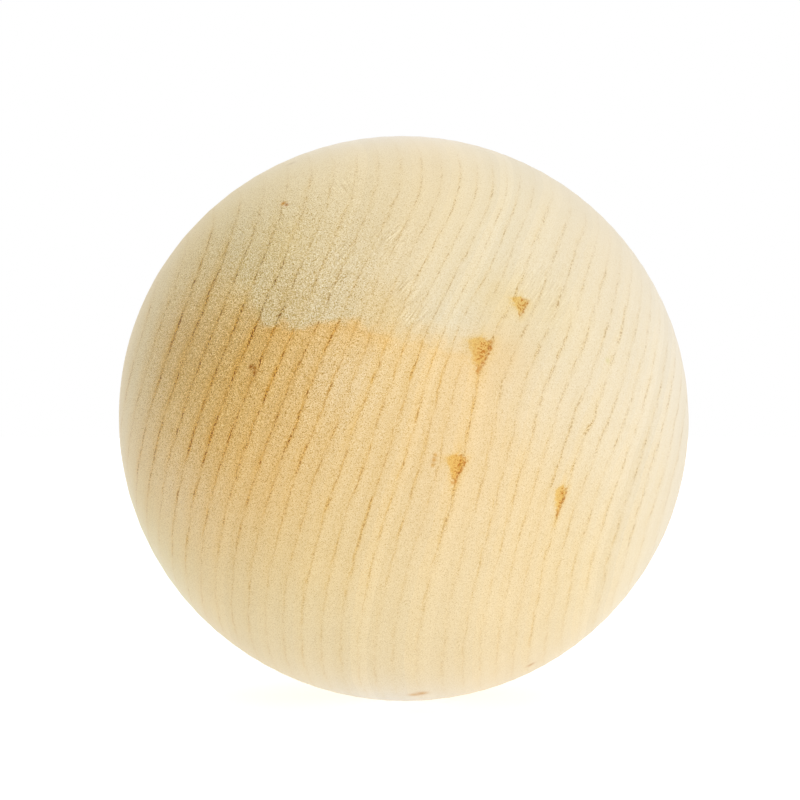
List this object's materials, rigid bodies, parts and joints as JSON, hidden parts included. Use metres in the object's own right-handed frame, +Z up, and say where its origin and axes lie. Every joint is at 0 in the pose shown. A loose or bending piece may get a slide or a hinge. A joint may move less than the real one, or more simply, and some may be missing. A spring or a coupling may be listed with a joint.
{
  "type": "wooden ball",
  "caption": "Plain turned wooden ball in pale, close-grained wood, sanded and left bare, for craft, bench and desk use.",
  "frame": {"origin": "middle of the ball", "axes": "+Z up; -Y is the side with the knots; the turning axis and the grain tip 43 degrees from +Z towards -Y and lean 13.5 degrees towards +X"},
  "size_m": [0.06, 0.0594, 0.0594],
  "materials": {
    "bare_wood": "bare wood, fine sanded, pale cream to honey with thin growth-ring lines and a few pin knots"
  },
  "bodies": {
    "root": {"ball": "bare_wood"}
  },
  "joints": []
}
